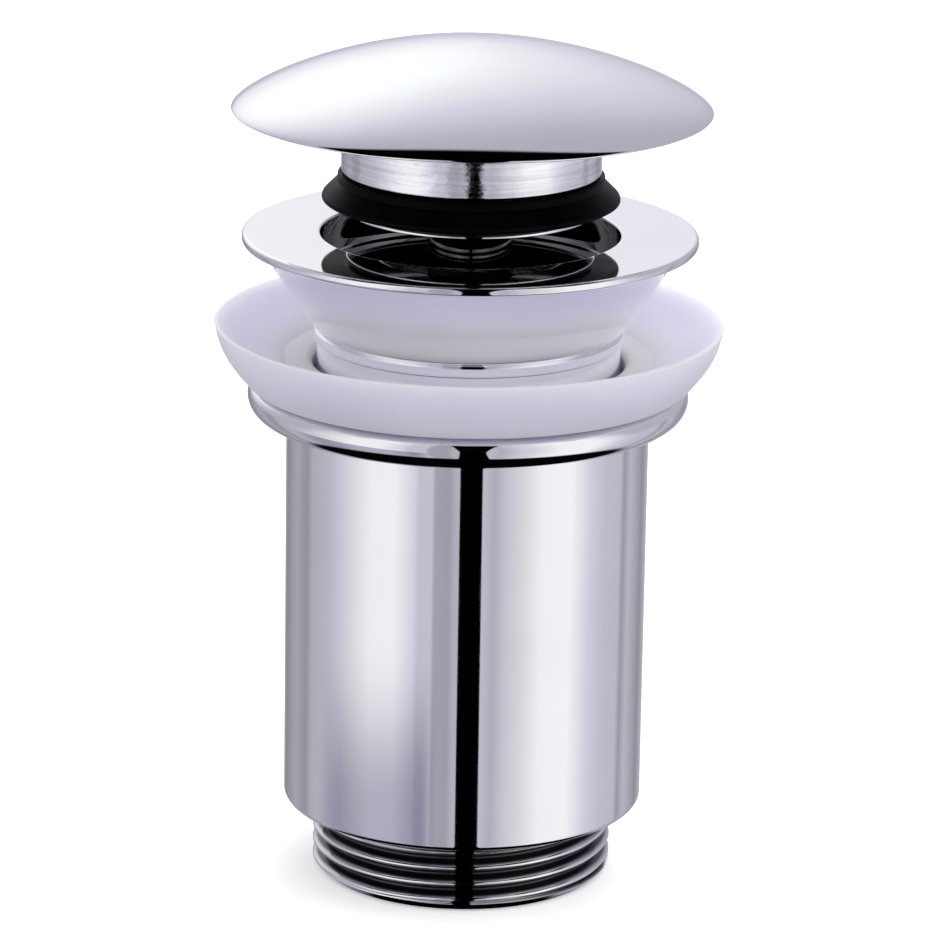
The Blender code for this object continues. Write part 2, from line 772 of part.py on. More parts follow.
def main():
    clear_scene()
    chrome = make_material("chrome", (0.86, 0.86, 0.89), 0.06, 1.0)
    machined = make_material("machined_metal", (0.80, 0.80, 0.82), 0.28, 1.0)
    brass = make_material("brass", (0.72, 0.55, 0.28), 0.32, 1.0)
    steel = make_material("spring_steel", (0.62, 0.63, 0.65), 0.3, 1.0)
    black_rubber = make_material("black_rubber", (0.015, 0.015, 0.018), 0.45, 0.0)
    pale_rubber = make_material("pale_rubber", (0.86, 0.85, 0.89), 0.3, 0.0)
    nylon = make_material("nylon", (0.88, 0.87, 0.84), 0.4, 0.0)

    waste = add_frame("waste", height=-outlet_end)
    tail = add_frame("tail_parts", waste)
    flange = add_frame("flange_parts", waste)
    plug = add_frame("plug_parts", flange)

    build_sleeve(chrome, tail)
    build_washer(pale_rubber, tail)
    build_tail_ring(black_rubber, waste)

    build_flange(chrome, flange)
    build_tube(chrome, flange)
    build_cam_pins(steel, flange)
    build_bush(nylon, flange)
    build_gland(brass, flange)
    build_lock_washer(steel, flange)
    build_lock_nut(brass, flange)
    build_spring(steel, flange)

    build_dome(chrome, plug)
    build_neck(machined, plug)
    build_seal(black_rubber, plug)
    build_retainer(chrome, plug)
    build_rod(brass, plug)
    build_rod_trim(nylon, steel, plug)
    build_drum(nylon, plug)


main()
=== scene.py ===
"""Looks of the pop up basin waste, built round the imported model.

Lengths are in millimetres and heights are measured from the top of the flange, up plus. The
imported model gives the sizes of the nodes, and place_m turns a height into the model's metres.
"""

import math

import bpy
from mathutils import Matrix, Vector


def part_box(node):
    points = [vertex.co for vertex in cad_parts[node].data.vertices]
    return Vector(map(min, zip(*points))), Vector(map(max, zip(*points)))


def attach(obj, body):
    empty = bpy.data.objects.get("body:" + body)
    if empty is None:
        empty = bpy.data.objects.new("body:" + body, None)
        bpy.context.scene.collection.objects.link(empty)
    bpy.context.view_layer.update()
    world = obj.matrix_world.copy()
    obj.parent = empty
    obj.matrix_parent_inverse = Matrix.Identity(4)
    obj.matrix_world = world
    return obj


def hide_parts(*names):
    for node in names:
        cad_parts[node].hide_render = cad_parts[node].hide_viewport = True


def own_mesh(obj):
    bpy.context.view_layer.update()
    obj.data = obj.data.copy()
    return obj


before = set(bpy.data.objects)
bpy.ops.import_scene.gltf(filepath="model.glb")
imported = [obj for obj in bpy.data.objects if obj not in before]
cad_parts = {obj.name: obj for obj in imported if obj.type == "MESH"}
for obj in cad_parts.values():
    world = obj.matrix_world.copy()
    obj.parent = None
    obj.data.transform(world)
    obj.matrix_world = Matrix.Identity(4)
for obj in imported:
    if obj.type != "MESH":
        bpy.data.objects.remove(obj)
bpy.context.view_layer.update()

MM = 0.001

# Camera, from the ellipses in the photograph
CAMERA_DISTANCE = 720.0
CAMERA_ELEVATION = 13.8
CAMERA_PITCH = 16.414
CAMERA_YAW = 0.049
CAMERA_ROLL = 0.941
FRAME_WIDTH = 942
FOCAL_PIXELS = 5242.0
SENSOR_WIDTH = 36.0

# Facets of turned pieces, and points on a rounded corner
WIDE_STEPS = 256
SMALL_STEPS = 96
ROUND_STEPS = 5

# Pipe thread on the tail and the outlet
THREAD_PITCH = 2.309
THREAD_DEPTH = 1.4
RINGS_PER_PITCH = 16
CREST_SHARE = 0.12
STUD_PITCH = 1.25
STUD_THREAD_DEPTH = 0.55

# Radii between which bored pieces go from painted shade to their plated colour, and the colour of the
# painted shade
BORE_SHADE_RADII = (20.3, 20.92)
BORE_SHADE_COLOUR = (0.06, 0.06, 0.065)

# Milky washer: its outer tones, and the painted light on the upward faces of its dish, from its floor
# to its rim
MILKY_TONES = ((0.495, 0.48, 0.555), (0.52, 0.505, 0.58))
MILKY_DEPTH = 0.012
PAINTED_LIGHT_FACING = 0.4
PAINTED_LIGHT_RADII = (27.0, 34.5)
DISH_FLOOR_PAINTED_LIGHT = (0.82, 0.795, 0.96)
DISH_RIM_PAINTED_LIGHT = (0.53, 0.515, 0.6)

# Painted glow on the dish that only mirrors such as the bowl see, strongest near the axis
PAINTED_GLOW_RADII = (24.0, 32.0)
PAINTED_GLOW_COLOUR = (0.86, 0.83, 1.0, 1.0)
PAINTED_DISH_GLOW = 0.19

flange_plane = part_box("flange_body")[1][2]


def reach(node):
    """Radius of a round node."""
    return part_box(node)[1][0] / MM


def top(node):
    return (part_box(node)[1][2] - flange_plane) / MM


def bottom(node):
    return (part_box(node)[0][2] - flange_plane) / MM


def place_m(height):
    return flange_plane + height * MM


# Modelling


def clear_selection():
    bpy.ops.object.select_all(action="DESELECT")


def arc(centre, radius, start, end, steps):
    """Points of an arc in the (radius, height) plane, from start to end in degrees."""
    points = []
    for step in range(steps + 1):
        angle = math.radians(start + (end - start) * step / steps)
        points.append((centre[0] + radius * math.cos(angle), centre[1] + radius * math.sin(angle)))
    return points


def ladder(radius, start, end, step):
    """Evenly spaced points up or down a straight wall."""
    count = max(1, round(abs(end - start) / step))
    return [(radius, start + (end - start) * number / count) for number in range(count + 1)]


def eased(corners, closed=True):
    """An outline with its corners rounded. A corner is (radius, height) or (radius, height,
    round), and a round that its sides have no room for is cut down to fit."""
    points = []
    count = len(corners)
    for number, corner in enumerate(corners):
        here = Vector(corner[:2])
        easing = corner[2] if len(corner) == 3 else 0.0
        at_end = not closed and number in (0, count - 1)
        if easing == 0.0 or at_end:
            points.append(tuple(here))
            continue
        before = Vector(corners[number - 1][:2]) - here
        after = Vector(corners[(number + 1) % count][:2]) - here
        half = before.angle(after) / 2
        room = 0.45 * min(before.length, after.length)
        run = min(easing / math.tan(half), room)
        radius = run * math.tan(half)
        middle = here + (before.normalized() + after.normalized()).normalized() * (
            radius / math.sin(half)
        )
        first = here + before.normalized() * run - middle
        last = here + after.normalized() * run - middle
        for step in range(ROUND_STEPS + 1):
            share = step / ROUND_STEPS
            points.append(tuple(middle + first.slerp(last, share) * radius))
    return points


def turn_piece(name, outline, steps=WIDE_STEPS, sharp=35.0):
    """Draws an outline of (radius, height) points beside the axis and spins it round. An
    outline that starts and ends on the axis closes there, and any other closes on itself."""
    clear_selection()
    bpy.ops.mesh.primitive_plane_add(size=MM)
    piece = bpy.context.object
    piece.name = name
    piece.data.name = name
    bpy.ops.object.mode_set(mode="EDIT")
    bpy.ops.mesh.select_all(action="SELECT")
    bpy.ops.mesh.merge(type="CENTER")
    here = Vector((outline[0][0] * MM, 0.0, place_m(outline[0][1])))
    bpy.ops.transform.translate(value=here)
    for radius, height in outline[1:]:
        there = Vector((radius * MM, 0.0, place_m(height)))
        bpy.ops.mesh.extrude_vertices_move(TRANSFORM_OT_translate={"value": there - here})
        here = there
    bpy.ops.mesh.select_all(action="SELECT")
    meets_axis = outline[0][0] == 0.0 and outline[-1][0] == 0.0
    if not meets_axis:
        bpy.ops.mesh.edge_face_add()
        bpy.ops.mesh.delete(type="ONLY_FACE")
        bpy.ops.mesh.select_all(action="SELECT")
    bpy.ops.mesh.spin(
        steps=steps, angle=2 * math.pi, center=(0.0, 0.0, 0.0), axis=(0.0, 0.0, 1.0)
    )
    bpy.ops.mesh.select_all(action="SELECT")
    bpy.ops.mesh.remove_doubles(threshold=2e-6)
    bpy.ops.mesh.normals_make_consistent(inside=False)
    bpy.ops.object.mode_set(mode="OBJECT")
    bpy.ops.object.shade_smooth_by_angle(angle=math.radians(sharp))
    return piece


def cut_thread(piece, crest, low, high, pitch, depth, lead):
    """Sinks a right handed thread into the straight wall at the crest radius. The groove fades
    out over the lead at both ends."""
    low_m = place_m(low)
    high_m = place_m(high)
    for vertex in piece.data.vertices:
        x, y, z = vertex.co
        radius = math.hypot(x, y)
        if abs(radius - crest * MM) > 1e-5 or not low_m <= z <= high_m:
            continue
        turn = math.atan2(y, x) / (2 * math.pi)
        phase = (z / (pitch * MM) - turn) % 1.0
        flank = 1.0 - abs(2.0 * phase - 1.0)
        groove = min(1.0, max(0.0, (flank - CREST_SHARE) / (1.0 - 2.0 * CREST_SHARE)))
        fade = min(1.0, (high_m - z) / (lead * MM), (z - low_m) / (lead * MM))
        scale = 1.0 - depth * MM * groove * fade / radius
        vertex.co.x = x * scale
        vertex.co.y = y * scale
    piece.data.update()


def settle(piece, body, nodes, material):
    """Finishes a piece: its place goes into its mesh, and it rides and gets its material."""
    clear_selection()
    piece.select_set(True)
    bpy.context.view_layer.objects.active = piece
    bpy.ops.object.transform_apply(location=True, rotation=True, scale=True)
    even = piece.modifiers.new("even_normals", "WEIGHTED_NORMAL")
    even.keep_sharp = True
    bpy.ops.object.modifier_apply(modifier=even.name)
    piece.data.materials.clear()
    piece.data.materials.append(material)
    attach(piece, body)
    if nodes:
        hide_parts(*nodes)


# Materials

# The range that noise mostly keeps to, and the stops between which its two tones meet
NOISE_RANGE = (0.3, 0.7)
TONE_STOPS = (0.35, 0.65)

# Where a Mix node keeps its two colours and their mix
MIX_INPUTS = (6, 7)
MIX_OUTPUT = 2


def new_material(name):
    material = bpy.data.materials.new(name)
    material.use_nodes = True
    nodes = material.node_tree.nodes
    return material, nodes, material.node_tree.links, nodes["Principled BSDF"]


def add_math(nodes, links, operation, first, second):
    node = nodes.new("ShaderNodeMath")
    node.operation = operation
    for socket, value in zip(node.inputs, (first, second), strict=False):
        if isinstance(value, (int, float)):
            socket.default_value = value
        else:
            links.new(value, socket)
    return node.outputs["Value"]


def product(nodes, links, *values):
    """Multiplies sockets and numbers with each other."""
    result = values[0]
    for value in values[1:]:
        result = add_math(nodes, links, "MULTIPLY", result, value)
    return result


def step_between(nodes, links, value, start, end, soft=False):
    """Rises from 0 at the start to 1 at the end, in a straight line or softly."""
    step = nodes.new("ShaderNodeMapRange")
    if soft:
        step.interpolation_type = "SMOOTHSTEP"
    step.inputs["From Min"].default_value = start
    step.inputs["From Max"].default_value = end
    links.new(value, step.inputs["Value"])
    return step.outputs["Result"]


def mix_colours(nodes, links, share, first, second):
    """Goes from the first colour to the second as the share rises from 0 to 1. A colour is a
    socket, or its red, green and blue."""
    mix = nodes.new("ShaderNodeMix")
    mix.data_type = "RGBA"
    links.new(share, mix.inputs["Factor"])
    for number, colour in zip(MIX_INPUTS, (first, second), strict=True):
        if isinstance(colour, tuple):
            mix.inputs[number].default_value = (*colour, 1.0)
        else:
            links.new(colour, mix.inputs[number])
    return mix.outputs[MIX_OUTPUT]


def add_noise(nodes, links, scale, detail=3.0, stretch=(1.0, 1.0, 1.0)):
    """Noise on Object coordinates, which are in metres, so the scale is per metre."""
    place = nodes.new("ShaderNodeTexCoord")
    mapping = nodes.new("ShaderNodeMapping")
    mapping.inputs["Scale"].default_value = stretch
    noise = nodes.new("ShaderNodeTexNoise")
    noise.inputs["Scale"].default_value = scale
    noise.inputs["Detail"].default_value = detail
    links.new(place.outputs["Object"], mapping.inputs["Vector"])
    links.new(mapping.outputs["Vector"], noise.inputs["Vector"])
    return noise


def span(nodes, links, source, low, high):
    """Turns a noise's usual range into a value from low to high."""
    spread = nodes.new("ShaderNodeMapRange")
    spread.inputs["From Min"].default_value = NOISE_RANGE[0]
    spread.inputs["From Max"].default_value = NOISE_RANGE[1]
    spread.inputs["To Min"].default_value = low
    spread.inputs["To Max"].default_value = high
    links.new(source.outputs["Fac"], spread.inputs["Value"])
    return spread


def add_bump(nodes, links, shader, source, strength, distance):
    bump = nodes.new("ShaderNodeBump")
    bump.inputs["Strength"].default_value = strength
    bump.inputs["Distance"].default_value = distance
    links.new(source.outputs["Fac"], bump.inputs["Height"])
    links.new(bump.outputs["Normal"], shader.inputs["Normal"])


def two_tones(nodes, links, shader, source, dark, light):
    ramp = nodes.new("ShaderNodeValToRGB")
    ramp.color_ramp.elements[0].position = TONE_STOPS[0]
    ramp.color_ramp.elements[0].color = (*dark, 1.0)
    ramp.color_ramp.elements[1].position = TONE_STOPS[1]
    ramp.color_ramp.elements[1].color = (*light, 1.0)
    links.new(source.outputs["Fac"], ramp.inputs["Fac"])
    links.new(ramp.outputs["Color"], shader.inputs["Base Color"])


def chrome_plate(name, bored=False):
    """Polished chrome: faint haze that comes and goes, and the slow waviness of buffed metal.
    A bored piece has painted shade in its bore and in the grooves of its thread."""
    material, nodes, links, shader = new_material(name)
    shader.inputs["Metallic"].default_value = 1.0
    haze = add_noise(nodes, links, 90.0)
    two_tones(nodes, links, shader, haze, (0.84, 0.84, 0.845), (0.86, 0.86, 0.865))
    roughness = span(nodes, links, haze, 0.03, 0.05)
    links.new(roughness.outputs["Result"], shader.inputs["Roughness"])
    if bored:
        paint_bore_shade(nodes, links, shader)
    waves = add_noise(nodes, links, 45.0, detail=1.0)
    add_bump(nodes, links, shader, waves, 0.02, 0.0002)
    return material


def by_radius(nodes, links, near, far):
    """Goes from 0 at the near radius to 1 at the far one, both from the waste's axis."""
    place = nodes.new("ShaderNodeTexCoord")
    flat = nodes.new("ShaderNodeVectorMath")
    flat.operation = "MULTIPLY"
    flat.inputs[1].default_value = (1.0, 1.0, 0.0)
    links.new(place.outputs["Object"], flat.inputs[0])
    distance = nodes.new("ShaderNodeVectorMath")
    distance.operation = "LENGTH"
    links.new(flat.outputs["Vector"], distance.inputs[0])
    return step_between(nodes, links, distance.outputs["Value"], near * MM, far * MM)


def paint_bore_shade(nodes, links, shader):
    """Paints shade into the base colour nearer to the axis than the crests of the pipe thread."""
    plated = shader.inputs["Base Color"].links[0].from_socket
    outward = by_radius(nodes, links, *BORE_SHADE_RADII)
    bore_shaded = mix_colours(nodes, links, outward, BORE_SHADE_COLOUR, plated)
    links.new(bore_shaded, shader.inputs["Base Color"])


def turned_metal():
    """Bright metal straight off the lathe: fine rings round the axis and small marks."""
    material, nodes, links, shader = new_material("turned_metal")
    shader.inputs["Metallic"].default_value = 1.0
    rings = add_noise(nodes, links, 260.0, detail=6.0, stretch=(0.25, 0.25, 9.0))
    two_tones(nodes, links, shader, rings, (0.72, 0.72, 0.74), (0.95, 0.95, 0.96))
    roughness = span(nodes, links, rings, 0.05, 0.13)
    links.new(roughness.outputs["Result"], shader.inputs["Roughness"])
    marks = add_noise(nodes, links, 420.0, detail=6.0, stretch=(1.0, 1.0, 2.2))
    add_bump(nodes, links, shader, marks, 0.25, 0.0003)
    return material


def plain_brass():
    material, nodes, links, shader = new_material("turned_brass")
    shader.inputs["Metallic"].default_value = 1.0
    rings = add_noise(nodes, links, 300.0, detail=5.0, stretch=(0.3, 0.3, 8.0))
    two_tones(nodes, links, shader, rings, (0.60, 0.42, 0.17), (0.80, 0.62, 0.30))
    roughness = span(nodes, links, rings, 0.22, 0.40)
    links.new(roughness.outputs["Result"], shader.inputs["Roughness"])
    add_bump(nodes, links, shader, rings, 0.15, 0.0002)
    return material


def drawn_steel():
    material, nodes, links, shader = new_material("drawn_steel")
    shader.inputs["Metallic"].default_value = 1.0
    grain = add_noise(nodes, links, 900.0, detail=4.0)
    two_tones(nodes, links, shader, grain, (0.50, 0.51, 0.53), (0.68, 0.69, 0.71))
    roughness = span(nodes, links, grain, 0.22, 0.36)
    links.new(roughness.outputs["Result"], shader.inputs["Roughness"])
    add_bump(nodes, links, shader, grain, 0.1, 0.0001)
    return material


def black_rubber():
    """Moulded black rubber with a satin skin and a little bloom."""
    material, nodes, links, shader = new_material("black_rubber")
    bloom = add_noise(nodes, links, 160.0, detail=5.0)
    two_tones(nodes, links, shader, bloom, (0.0006, 0.0006, 0.0008), (0.0018, 0.0018, 0.0022))
    roughness = span(nodes, links, bloom, 0.26, 0.40)
    links.new(roughness.outputs["Result"], shader.inputs["Roughness"])
    shader.inputs["Specular IOR Level"].default_value = 0.03
    grain = add_noise(nodes, links, 2600.0, detail=2.0)
    add_bump(nodes, links, shader, grain, 0.08, 0.0001)
    return material


def milky_rubber():
    """Milky see-through rubber: light goes some way in, and the skin is glossy."""
    material, nodes, links, shader = new_material("milky_rubber")
    cloud = add_noise(nodes, links, 45.0, detail=3.0)
    two_tones(nodes, links, shader, cloud, *MILKY_TONES)
    outer_tone = shader.inputs["Base Color"].links[0].from_socket
    # Painted light: faces of the dish that look up get a lighter tone, lightest at the floor of the
    # dish
    side = nodes.new("ShaderNodeTexCoord")
    facing = nodes.new("ShaderNodeSeparateXYZ")
    links.new(side.outputs["Normal"], facing.inputs["Vector"])
    upward = step_between(nodes, links, facing.outputs["Z"], 0.0, PAINTED_LIGHT_FACING)
    outward = by_radius(nodes, links, *PAINTED_LIGHT_RADII)
    painted_dish_light = mix_colours(nodes, links, outward, DISH_FLOOR_PAINTED_LIGHT, DISH_RIM_PAINTED_LIGHT)
    tone = mix_colours(nodes, links, upward, outer_tone, painted_dish_light)
    links.new(tone, shader.inputs["Base Color"])

    # Painted glow: the upward faces of the dish shine in mirrors, most near the axis
    inward = add_math(nodes, links, "SUBTRACT", 1.0, by_radius(nodes, links, *PAINTED_GLOW_RADII))
    rays = nodes.new("ShaderNodeLightPath")
    painted_glow = product(nodes, links, inward, upward, rays.outputs["Is Glossy Ray"], PAINTED_DISH_GLOW)
    links.new(painted_glow, shader.inputs["Emission Strength"])
    shader.inputs["Emission Color"].default_value = PAINTED_GLOW_COLOUR

    roughness = span(nodes, links, cloud, 0.32, 0.42)
    links.new(roughness.outputs["Result"], shader.inputs["Roughness"])
    shader.inputs["Subsurface Weight"].default_value = 1.0
    shader.inputs["Subsurface Radius"].default_value = (0.8, 0.8, 1.0)
    shader.inputs["Subsurface Scale"].default_value = MILKY_DEPTH
    shader.inputs["Coat Weight"].default_value = 0.15
    shader.inputs["Coat Roughness"].default_value = 0.3
    skin = add_noise(nodes, links, 500.0, detail=2.0)
    add_bump(nodes, links, shader, skin, 0.04, 0.0002)
    return material


def moulded_nylon():
    material, nodes, links, shader = new_material("moulded_nylon")
    cloud = add_noise(nodes, links, 140.0, detail=4.0)
    two_tones(nodes, links, shader, cloud, (0.78, 0.77, 0.73), (0.86, 0.85, 0.81))
    roughness = span(nodes, links, cloud, 0.34, 0.48)
    links.new(roughness.outputs["Result"], shader.inputs["Roughness"])
    shader.inputs["Subsurface Weight"].default_value = 0.2
    shader.inputs["Subsurface Scale"].default_value = 0.002
    skin = add_noise(nodes, links, 1500.0, detail=2.0)
    add_bump(nodes, links, shader, skin, 0.06, 0.0001)
    return material


# Plug

NECK_RADIUS = 17.85
NECK_BORE = 8.6
NECK_SHOWN = 8.08
SPIGOT_RADIUS = 13.0
BOSS_RING_RADIUS = 11.0
BOSS_DEPTH = 2.22
ROD_HOLE_RADIUS = 2.8
PIECE_GAP = 0.3

# Dome: its curve, its rim, and the recess under it
DOME_BULGE = 1.75
DOME_SHOULDER = 1.28
DOME_UNDER = 0.12
DOME_TUCK = 0.3
DOME_WALL = 2.2
DOME_LIP = 1.7
DOME_STEPS = 56
RIM_STEPS = 12
LIP_STEP = 0.2
RECESS_LEAD = 0.6
RECESS_RISE = 0.8

# Seal, from its lip up to its rim, and the ring under it
SEAL_SQUEEZE = 0.15
SEAL_DROP = 0.75
SEAL_RIM_PROUD = 0.5
LIP_FLAT = 0.7
LIP_RISE = 0.4
LIP_EDGE = 0.9
WAIST_SPREAD = 0.35
WAIST_RISE = 2.6
RIM_TAPER = 0.1
RIM_HEIGHT = 1.2
RETAINER_LEAN = 0.4


def make_dome(material):
    """Shallow dome with a tightly rounded rim and a hollow underside with its boss."""
    dome_top = top("dome_cap")
    rim = reach("dome_cap")
    dome_edge = top("lip_seal") + NECK_SHOWN
    widest = dome_edge + DOME_UNDER
    boss_face = dome_edge + BOSS_DEPTH

    def dome_height(radius, wall=0.0):
        share = 1.0 - (radius / rim) ** DOME_BULGE
        return widest + (dome_top - widest) * share ** (1 / DOME_SHOULDER) - wall

    outline = []
    for step in range(DOME_STEPS):
        radius = rim * math.sin(math.pi / 2 * step / DOME_STEPS)
        outline.append((radius, dome_height(radius)))
    for step in range(RIM_STEPS + 1):
        angle = math.pi / 2 * step / RIM_STEPS
        tuck = DOME_TUCK * (1 - math.cos(angle))
        outline.append((rim - tuck, widest - DOME_UNDER * math.sin(angle)))
    inner_rim = rim - DOME_LIP
    outline.append((inner_rim, dome_edge))
    recess_radius = NECK_RADIUS + RECESS_LEAD
    for step in range(1, RIM_STEPS + 1):
        radius = inner_rim + (recess_radius - inner_rim) * step / RIM_STEPS
        outline.append((radius, max(dome_edge + LIP_STEP, dome_height(radius, DOME_WALL))))
    inner_end = outline[-1]
    outline += eased(
        [
            inner_end,
            (NECK_RADIUS, boss_face + RECESS_RISE, 0.4),
            (NECK_RADIUS, boss_face, 0.15),
            (BOSS_RING_RADIUS, boss_face, 0.2),
            (BOSS_RING_RADIUS, bottom("dome_cap"), 0.3),
            (NECK_BORE, bottom("dome_cap"), 0.3),
            (NECK_BORE, boss_face, 0.2),
            (ROD_HOLE_RADIUS, boss_face, 0.2),
            (ROD_HOLE_RADIUS, top("plunger_rod") + PIECE_GAP),
            (0.0, top("plunger_rod") + PIECE_GAP),
        ],
        closed=False,
    )[1:]
    settle(turn_piece("dome", outline), "plug", ["dome_cap"], material)


def make_neck(material):
    neck_top = top("plug_neck")
    foot = top("lip_seal") - SEAL_DROP + PIECE_GAP
    recess_floor = bottom("dome_cap") - PIECE_GAP
    outline = eased(
        [
            (BOSS_RING_RADIUS + PIECE_GAP, neck_top, 0.2),
            (NECK_RADIUS, neck_top, 0.3),
            (NECK_RADIUS, foot, 0.35),
            (SPIGOT_RADIUS, foot, 0.1),
            (SPIGOT_RADIUS, bottom("plug_neck"), 0.3),
            (NECK_BORE, bottom("plug_neck"), 0.3),
            (NECK_BORE, recess_floor, 0.1),
            (BOSS_RING_RADIUS + PIECE_GAP, recess_floor, 0.1),
        ]
    )
    settle(turn_piece("neck", outline), "plug", ["plug_neck"], material)


def make_seal(material):
    """Lip seal: an upright rim under the neck, a waist, and the lip that meets the throat."""
    low = bottom("lip_seal")
    high = top("lip_seal") - SEAL_DROP
    lip = reach("lip_seal") + SEAL_SQUEEZE
    rim = NECK_RADIUS + SEAL_RIM_PROUD
    inner = SPIGOT_RADIUS + PIECE_GAP
    outline = eased(
        [
            (inner, low, 0.2),
            (lip - LIP_FLAT, low, 0.4),
            (lip, low + LIP_RISE, 0.25),
            (lip - RIM_TAPER, low + LIP_EDGE, 0.3),
            (rim + WAIST_SPREAD, low + WAIST_RISE, 0.8),
            (rim - RIM_TAPER, high - RIM_HEIGHT, 0.6),
            (rim, high, 0.3),
            (inner, high, 0.2),
        ]
    )
    settle(turn_piece("seal", outline), "plug", ["lip_seal"], material)


def make_seal_ring(material):
    low = bottom("seal_retainer")
    high = top("seal_retainer")
    outer = reach("seal_retainer")
    inner = SPIGOT_RADIUS + PIECE_GAP
    outline = eased(
        [
            (inner, low, 0.1),
            (outer, low, 0.12),
            (outer - RETAINER_LEAN, high, 0.12),
            (inner, high, 0.1),
        ]
    )
    settle(turn_piece("seal_ring", outline), "plug", ["seal_retainer"], material)


# Flange body

THROAT_RADIUS = 20.6
THROAT_ROUND = 0.35
THROAT_SEAM = 2.0
BODY_BORE = 17.6
SEAT_DEPTH = 5.4
FLANGE_EDGE = 1.25
FLANGE_LEDGE = 2.5
FLANGE_STEP = 0.3
BOWL_SWELL = 0.3
BOWL_DEPTH = 13.4
BOWL_STEPS = 24
BOWL_SEAM = 0.05
BEAD_RADIUS = 21.4
BEAD_HEIGHT = 1.55
BEAD_STEP = 0.3
THREAD_RADIUS = 20.955
RING_GROOVE_HALF = 1.2
RING_GROOVE_DEPTH = 2.1
TAIL_CHAMFER = 1.0
TAIL_LEAD = 1.2

# Spider
ARM_WIDTH = 2.8
ARM_HEIGHT = 6.0
ARM_ROOT = 0.4
ARM_TIP = 0.6
ARM_ROUND = 0.7
HUB_RADIUS = 7.0
HUB_HEIGHT = 8.0
HUB_BORE = 4.3
HUB_RISE = 16.4


def make_waste_body(material):
    """Flange, throat and seat, rounded bowl, bead and threaded tail, all one casting."""
    flange_radius = reach("flange_body")
    tail_end = bottom("flange_body")
    bowl_start = flange_radius - FLANGE_LEDGE
    bowl_shoulder = -FLANGE_EDGE - FLANGE_STEP
    bowl_foot = BEAD_RADIUS - BEAD_STEP
    bead_bottom = -BOWL_DEPTH - BEAD_HEIGHT
    ring_middle = (top("tail_sealing_ring") + bottom("tail_sealing_ring")) / 2
    groove_floor = reach("tail_sealing_ring") - RING_GROOVE_DEPTH
    groove_top = ring_middle + RING_GROOVE_HALF
    groove_bottom = ring_middle - RING_GROOVE_HALF
    bowl = []
    for step in range(BOWL_STEPS + 1):
        share = step / BOWL_STEPS
        height = bowl_shoulder + (-BOWL_DEPTH - bowl_shoulder) * share
        swell = BOWL_SWELL * math.sin(math.pi * share)
        bowl.append((bowl_start + (bowl_foot - bowl_start) * share + swell, height))
    ring_step = THREAD_PITCH / RINGS_PER_PITCH
    upper = eased(
        [
            (THROAT_RADIUS, -THROAT_SEAM),
            (THROAT_RADIUS, 0.0, THROAT_ROUND),
            (flange_radius, 0.0, 0.7),
            (flange_radius, -FLANGE_EDGE, 0.5),
            bowl[0],
        ],
        closed=False,
    )[1:-1]
    lower = eased(
        [
            (bowl_foot, -BOWL_DEPTH - BOWL_SEAM),
            (BEAD_RADIUS, -BOWL_DEPTH - BEAD_STEP, 0.3),
            (BEAD_RADIUS, bead_bottom, 0.5),
            (THREAD_RADIUS, bead_bottom - BEAD_STEP),
            (THREAD_RADIUS, groove_top, 0.1),
            (groove_floor, groove_top, 0.1),
            (groove_floor, groove_bottom, 0.1),
            (THREAD_RADIUS, groove_bottom, 0.1),
        ],
        closed=False,
    )
    thread_top = groove_bottom - TAIL_CHAMFER
    thread_foot = tail_end + TAIL_CHAMFER
    thread = ladder(THREAD_RADIUS, thread_top, thread_foot, ring_step)
    bore = eased(
        [
            (THREAD_RADIUS, thread_foot),
            (THREAD_RADIUS - TAIL_CHAMFER, tail_end),
            (BODY_BORE, tail_end, 0.3),
            (BODY_BORE, -SEAT_DEPTH, 0.5),
            (THROAT_RADIUS, -SEAT_DEPTH, 0.35),
            (THROAT_RADIUS, -THROAT_SEAM),
        ],
        closed=False,
    )[1:]
    outline = upper + bowl + lower + thread + bore
    piece = turn_piece("waste_body", outline)
    cut_thread(
        piece, THREAD_RADIUS, thread_foot, thread_top, THREAD_PITCH, THREAD_DEPTH, TAIL_LEAD
    )
    settle(piece, "flange", ["flange_body"], material)


def make_spider(material):
    """Four arms and the bored hub, cast in the body below the throat."""
    hub_top = bottom("cartridge_tube") + HUB_RISE
    arm_top = hub_top - (HUB_HEIGHT - ARM_HEIGHT) / 2
    hub = eased(
        [
            (HUB_BORE, hub_top, 0.2),
            (HUB_RADIUS, hub_top, 0.6),
            (HUB_RADIUS, hub_top - HUB_HEIGHT, 0.6),
            (HUB_BORE, hub_top - HUB_HEIGHT, 0.2),
        ]
    )
    settle(turn_piece("spider_hub", hub, SMALL_STEPS), "flange", [], material)
    arm_start = HUB_RADIUS - ARM_ROOT
    arm_end = BODY_BORE + ARM_TIP
    for number in range(4):
        clear_selection()
        bpy.ops.mesh.primitive_cube_add(size=1.0)
        arm = bpy.context.object
        arm.name = f"spider_arm_{number + 1}"
        arm.scale = ((arm_end - arm_start) * MM, ARM_WIDTH * MM, ARM_HEIGHT * MM)
        arm.location = ((arm_start + arm_end) / 2 * MM, 0.0, place_m(arm_top - ARM_HEIGHT / 2))
        bpy.ops.object.transform_apply(location=True, rotation=True, scale=True)
        bpy.ops.object.mode_set(mode="EDIT")
        bpy.ops.mesh.select_all(action="SELECT")
        bpy.ops.mesh.bevel(offset=ARM_ROUND * MM, segments=4, profile=0.5)
        bpy.ops.object.mode_set(mode="OBJECT")
        arm.data.transform(Matrix.Rotation(math.radians(45.0 + 90.0 * number), 4, "Z"))
        bpy.ops.object.shade_smooth_by_angle(angle=math.radians(35.0))
        settle(arm, "flange", [], material)


# Cartridge

TUBE_RADIUS = 5.85
TUBE_WALL = 0.95
TUBE_FLOOR = 2.3
FOOT_STEP = 0.4
STUD_RADIUS = 4.0
STUD_LENGTH = 16.7
STUD_CHAMFER = 0.6
STUD_RUN_IN = 1.0
STUD_SEAM = 0.1
STUD_LEAD = 0.6


